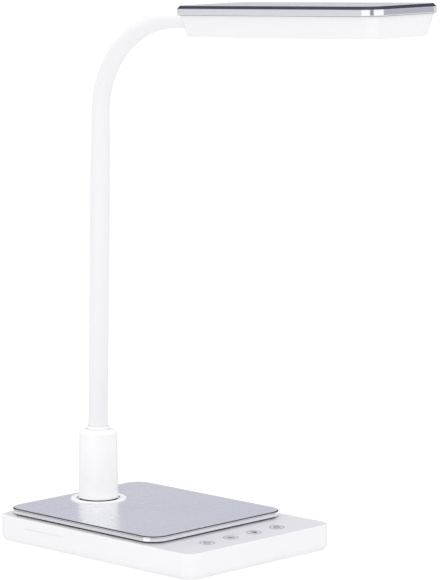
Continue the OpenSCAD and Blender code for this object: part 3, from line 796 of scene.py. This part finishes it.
# a ring round the path; ahead moves it straight on from there
def neckRing(distance, radius, ahead=0.0):
    y, z, tilt = neckPoint(distance)
    a = math.radians(tilt)
    y, z = y - ahead * math.sin(a), z + ahead * math.cos(a)
    return [(side, y + up * math.cos(a), z + up * math.sin(a))
            for side, up in circlePoints(radius, neck["sides"])]


# a half ball about a hinge, from the sleeve's full width to a small flat
def neckDome(distance, side):
    radius = neckRadius(distance)
    steps = neck["domeSteps"]
    turns = [math.radians(neck["domeTurn"] * (i + 1) / steps) for i in range(steps)]
    rings = [neckRing(distance, radius * math.cos(a), side * radius * math.sin(a)) for a in turns]
    return rings if side > 0 else rings[::-1]


# one length of the sleeve on each body; half balls about the hinges keep it closed where they turn
def makeNeck():
    hinges = [joint for joint in frame["joints"] if joint["name"] != "collar_swivel"]
    stations = [neck["firstHinge"] + neck["hingeStep"] * i for i in range(neck["straightHinges"])]
    stations += [straightTo, (straightTo + lowTo) / 2, lowTo, (lowTo + highTo) / 2, highTo]
    ends = [neck["start"]] + stations + [headAt + neck["inside"]]
    bodies = [hinges[0]["parent"]] + [joint["child"] for joint in hinges]
    for number, body in enumerate(bodies):
        first, last = ends[number], ends[number + 1]
        count = max(neck["fewestRings"], round((last - first) / neck["ringStep"]))
        rings = neckDome(first, -1) if number > 0 else []
        for i in range(count + 1):
            place = first + (last - first) * i / count
            rings.append(neckRing(place, neckRadius(place)))
        rings += neckDome(last, 1) if number < len(hinges) else []
        piece = joinRings(f"neckSleeve{number + 1:02d}", rings, ["siliconeSleeve"])
        dress(piece, body, "sleeve_silicone", f"neck_skin_{min(number + 1, len(hinges)):02d}")


makeNeck()
print("neck ready")


# the light head, in the frame of its CAD outline: the neck comes in at the origin, along Y
head = dict(width=74.8, length=196.4, corner=12.0, up=11.3, down=11.5, plate=2.45, band=3.8)
bore = dict(radius=7.0, middle=(0, -4, 0), axis=(0, 1, 0), deep=16)
window = dict(width=46.0, back=-26.0, front=-182.4, corner=4.0, floor=1.6)
headY, headZ, headTilt = neckPoint(headAt)
headTurn = Matrix.Rotation(math.radians(headTilt - 90), 4, "X")
headPlace = Matrix.Translation((0, headY * mm, headZ * mm)) @ headTurn
headMiddle = (0, -head["length"] / 2)
headSize = (head["width"], head["length"])
windowMiddle = (0, (window["back"] + window["front"]) / 2)
windowLong = window["back"] - window["front"]
plateLow = head["up"] - head["plate"]
bandLow = plateLow - head["band"]
floorUp = -head["down"] + window["floor"]


def drillBore(piece):
    drill(piece, bore["middle"], bore["axis"], bore["radius"], bore["deep"])


def placeHead(piece, slotName, *replaced):
    piece.data.transform(headPlace)
    dress(weighNormals(piece), "head", slotName, *replaced)


# a tapered tray with a stepped rim, a painted shadow line in black under the rim and the window in its floor
def makeHousing():
    spec = dict(taper=7.0, lowFlat=2.5, lowIn=0.45, lowRound=1.8, ledge=2.0, ledgeRound=0.25, wall=1.9,
                rim=0.7, rimIn=0.3, line=0.3, near=0.01, edgeSteps=6)
    rimLow = bandLow - spec["rim"]
    outer = softPath([
        (-spec["taper"] - spec["lowFlat"], -head["down"], 0),
        (-spec["taper"] - spec["lowIn"], -head["down"], spec["lowRound"]),
        (-spec["ledge"], rimLow, spec["ledgeRound"]),
        (-spec["rimIn"] - spec["line"], rimLow, 0),
        (-spec["rimIn"], rimLow + spec["line"], 0),
        (-spec["rimIn"], bandLow, 0)], steps=spec["edgeSteps"])
    # the faces under the rim get the black finish: a painted shadow line under the overhang
    marks = [int(-spec["ledge"] < across and abs(up - rimLow) < spec["near"]) for across, up in outer]
    inner = [
        (-spec["ledge"] - spec["wall"], bandLow),
        (-spec["ledge"] - spec["wall"], rimLow),
        (-spec["taper"] - spec["wall"], floorUp)]
    rings = slabRings(headSize, head["corner"], outer + [Vector(p) for p in inner], headMiddle)
    opening = roundedLoop(window["width"], windowLong, window["corner"], windowMiddle)
    rings += [[(x, y, up) for x, y in opening] for up in (floorUp, -head["down"])]
    marks += [0] * (len(rings) - len(marks))
    piece = joinRings("headHousing", rings, ["whitePlastic", "blackPlasticAndPaintedShade"], marks, closed=True)
    drillBore(piece)
    placeHead(piece, "white_plastic", "head_housing")


def makeBand():
    spec = dict(wide=2.4, lowEdge=0.2, topEdge=0.15)
    path = softPath([
        (-spec["wide"], bandLow, 0),
        (-spec["lowEdge"], bandLow, 0),
        (0, bandLow + spec["lowEdge"], 0),
        (0, plateLow - spec["topEdge"], 0),
        (-spec["topEdge"], plateLow, 0),
        (-spec["wide"], plateLow, 0)])
    rings = slabRings(headSize, head["corner"], path, headMiddle)
    piece = joinRings("headBand", rings, ["polishedEdge"], closed=True)
    drillBore(piece)
    placeHead(piece, "bright_edge", "head_band")


def makePlate():
    spec = dict(under=3.0, side=0.1, sideHigh=0.3, bevel=2.2, inset=0.1)
    path = [
        (-spec["under"], plateLow),
        (-spec["side"], plateLow),
        (-spec["side"], plateLow + spec["sideHigh"]),
        (-spec["bevel"], head["up"]),
        (-spec["bevel"] - spec["inset"], head["up"])]
    rings = slabRings(headSize, head["corner"], path, headMiddle)
    # the plate's bevel is near black: a painted dark reflection
    piece = joinRings("headPlate", rings, ["brushedDeck", "darkSeamsAndPaintedReflection", "polishedEdge"], [1, 2, 1, 0])
    placeHead(mapAlongX(piece), "brushed_aluminium", "head_plate")


def makeDiffuser():
    spec = dict(sunk=0.3, gap=0.2, rise=0.5, edge=0.8, edgeRound=0.4)
    low = -head["down"] + spec["sunk"]
    path = softPath([(-spec["edge"], low, 0), (0, low, spec["edgeRound"]), (0, floorUp + spec["rise"], 0)])
    size = (window["width"] - 2 * spec["gap"], windowLong - 2 * spec["gap"])
    rings = slabRings(size, window["corner"] - spec["gap"], path, windowMiddle)
    piece = joinRings("diffuser", rings, ["opalDiffuser"])
    placeHead(piece, "diffuser_opal", "diffuser")


makeHousing()
makeBand()
makePlate()
makeDiffuser()
print("head ready")


# the other CAD pieces keep their shape and get their finish
nodeFinishes = {
    "coverPlastic": ["bottom_cover"],
    "padRubber": ["rubber_pad"],
    "keyPrint": ["touch_icons"],
    # the deck's pad: painted shade in the gap under the deck
    "padPaintedShade": ["deck_pad"],
    "ballastIron": ["weight_plate"],
    "circuitGreen": ["main_board", "touch_board"],
    "blackPlasticAndPaintedShade": ["dc_jack", "swivel_bush"],
    "contactFoil": ["touch_pads"],
    "innerWhite": ["reflector", "led_board"],
    "ledPhosphor": ["leds"],
    "clampAlloy": ["neck_clamp"],
    "plainSteel": ["cover_screws", "board_screws", "swivel_hub", "hub_nut", "collar_screws", "neck_socket",
                   "head_screws", "clamp_screws"] + [f"neck_core_{n:02d}" for n in range(1, 13)],
}
for finish, names in nodeFinishes.items():
    for name in names:
        slots = nodes[name].data.materials
        slots.clear()
        slots.append(finishes[finish])
print("inner pieces ready")
